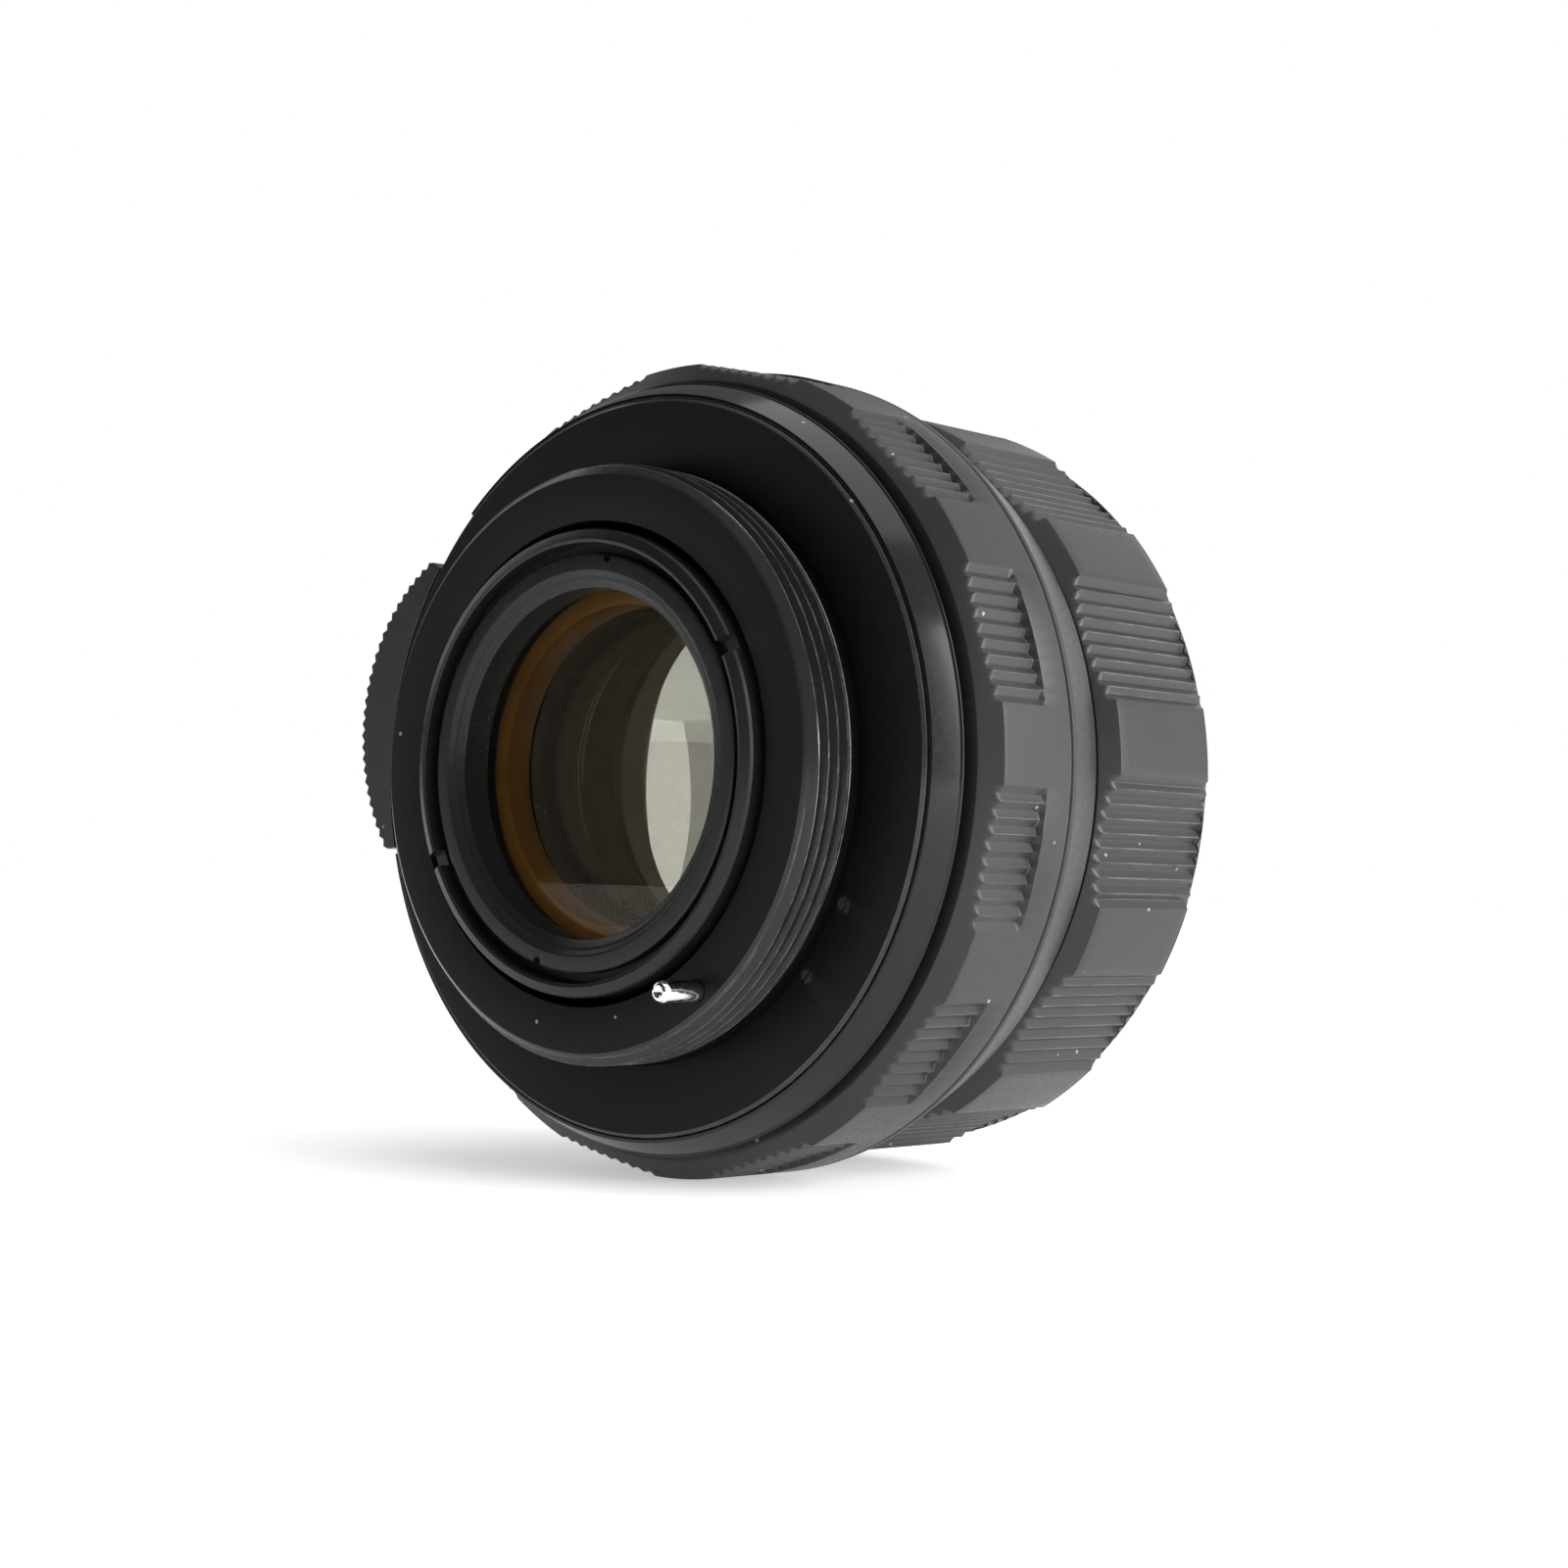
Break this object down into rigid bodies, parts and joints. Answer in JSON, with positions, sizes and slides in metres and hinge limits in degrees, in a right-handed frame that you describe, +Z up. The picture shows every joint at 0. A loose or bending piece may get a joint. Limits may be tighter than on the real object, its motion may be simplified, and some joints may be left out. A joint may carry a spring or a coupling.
{
  "type": "camera prime lens",
  "caption": "Black manual-focus prime lens with a 42 mm screw mount, scalloped focus and aperture rings, iris, auto/manual switch and stop-down pin.",
  "frame": {"origin": "centre of the register face, the flange plane that seats on the camera body", "axes": "+Y along the optical axis towards the front glass, +Z up, +X to the right as seen from behind"},
  "size_m": [0.0591, 0.0446, 0.0586],
  "materials": {
    "black_anodised": "satin black anodised",
    "grip_black": "satin black with light wear on the ridges",
    "mount_black": "black paint, matt faces and glossy edges",
    "helicoid_brass": "turned",
    "bare_steel": "brushed",
    "blade_steel": "blued",
    "chrome": "polished",
    "clear_glass": "coated",
    "amber_glass": "yellowed"
  },
  "bodies": {
    "lens_base": {"rear_mount": "mount_black", "register_face_screws": "black_anodised", "base_barrel": "mount_black", "pin_spring": "bare_steel", "pin_spring_cap": "helicoid_brass", "click_ball": "chrome", "click_spring": "bare_steel", "depth_scale_ring": "black_anodised", "outer_helicoid": "helicoid_brass", "guide_keys": "bare_steel", "guide_key_screws": "bare_steel", "focus_stop": "bare_steel"},
    "switch": {"auto_manual_switch": "grip_black"},
    "stop_pin": {"stop_down_pin": "chrome"},
    "aperture_unit": {"aperture_ring": "grip_black", "aperture_drive_screw": "bare_steel", "aperture_cam_ring": "bare_steel"},
    "focus_unit": {"focus_ring": "grip_black", "focus_helicoid": "helicoid_brass", "focus_ring_screws": "bare_steel"},
    "optical_block": {"optical_barrel": "helicoid_brass", "front_bezel": "black_anodised", "name_ring": "black_anodised", "front_retaining_ring": "black_anodised", "front_cell": "black_anodised", "front_element": "clear_glass", "front_spacer": "black_anodised", "second_element": "clear_glass", "third_element": "clear_glass", "iris_housing": "black_anodised", "iris_cover": "black_anodised", "rear_cell": "mount_black", "rear_cell_lock_ring": "helicoid_brass", "pair_retaining_ring": "black_anodised", "pair_front_element": "clear_glass", "pair_rear_element": "amber_glass", "rear_element": "amber_glass", "rear_retaining_ring": "mount_black"},
    "iris_ring": {"iris_drive_ring": "bare_steel"},
    "blade_1": {"iris_blade_1": "blade_steel"},
    "blade_2": {"iris_blade_2": "blade_steel"},
    "blade_3": {"iris_blade_3": "blade_steel"},
    "blade_4": {"iris_blade_4": "blade_steel"},
    "blade_5": {"iris_blade_5": "blade_steel"},
    "blade_6": {"iris_blade_6": "blade_steel"}
  },
  "joints": [
    {"name": "focus_turn", "type": "hinge", "parent": "lens_base", "child": "focus_unit", "pos_m": [0, 0, 0], "axis": [0, 1, 0], "range_deg": [0, 250]},
    {"name": "focus_slide", "type": "slide", "parent": "lens_base", "child": "optical_block", "axis": [0, 1, 0], "range_m": [0, 0.009]},
    {"name": "aperture_turn", "type": "hinge", "parent": "lens_base", "child": "aperture_unit", "pos_m": [0, 0, 0], "axis": [0, 1, 0], "range_deg": [0, 60]},
    {"name": "iris_ring_turn", "type": "hinge", "parent": "optical_block", "child": "iris_ring", "pos_m": [0, 0, 0], "axis": [0, 1, 0], "range_deg": [0, 3.4]},
    {"name": "switch_slide", "type": "hinge", "parent": "lens_base", "child": "switch", "pos_m": [0, 0, 0], "axis": [0, 1, 0], "range_deg": [0, 10]},
    {"name": "pin_push", "type": "slide", "parent": "lens_base", "child": "stop_pin", "axis": [0, 1, 0], "range_m": [0, 0.003], "stiffness_N_per_m": 120, "springref_m": -0.002, "deforming": ["pin_spring"]},
    {"name": "blade_1_turn", "type": "hinge", "parent": "optical_block", "child": "blade_1", "pos_m": [0.0182, 0.0145, 0], "axis": [0, 1, 0], "range_deg": [0, 34]},
    {"name": "blade_2_turn", "type": "hinge", "parent": "optical_block", "child": "blade_2", "pos_m": [0.0091, 0.0145, -0.01576], "axis": [0, 1, 0], "range_deg": [0, 34]},
    {"name": "blade_3_turn", "type": "hinge", "parent": "optical_block", "child": "blade_3", "pos_m": [-0.0091, 0.0145, -0.01576], "axis": [0, 1, 0], "range_deg": [0, 34]},
    {"name": "blade_4_turn", "type": "hinge", "parent": "optical_block", "child": "blade_4", "pos_m": [-0.0182, 0.0145, 0], "axis": [0, 1, 0], "range_deg": [0, 34]},
    {"name": "blade_5_turn", "type": "hinge", "parent": "optical_block", "child": "blade_5", "pos_m": [-0.0091, 0.0145, 0.01576], "axis": [0, 1, 0], "range_deg": [0, 34]},
    {"name": "blade_6_turn", "type": "hinge", "parent": "optical_block", "child": "blade_6", "pos_m": [0.0091, 0.0145, 0.01576], "axis": [0, 1, 0], "range_deg": [0, 34]}
  ],
  "couplings": [
    {"joint": "focus_turn", "follows": "focus_slide", "rad_per_m": 484.81},
    {"joint": "iris_ring_turn", "follows": "aperture_turn", "ratio": 0.054734},
    {"joint": "blade_1_turn", "follows": "aperture_turn", "ratio": 0.55833},
    {"joint": "blade_2_turn", "follows": "aperture_turn", "ratio": 0.55833},
    {"joint": "blade_3_turn", "follows": "aperture_turn", "ratio": 0.55833},
    {"joint": "blade_4_turn", "follows": "aperture_turn", "ratio": 0.55833},
    {"joint": "blade_5_turn", "follows": "aperture_turn", "ratio": 0.55833},
    {"joint": "blade_6_turn", "follows": "aperture_turn", "ratio": 0.55833}
  ]
}
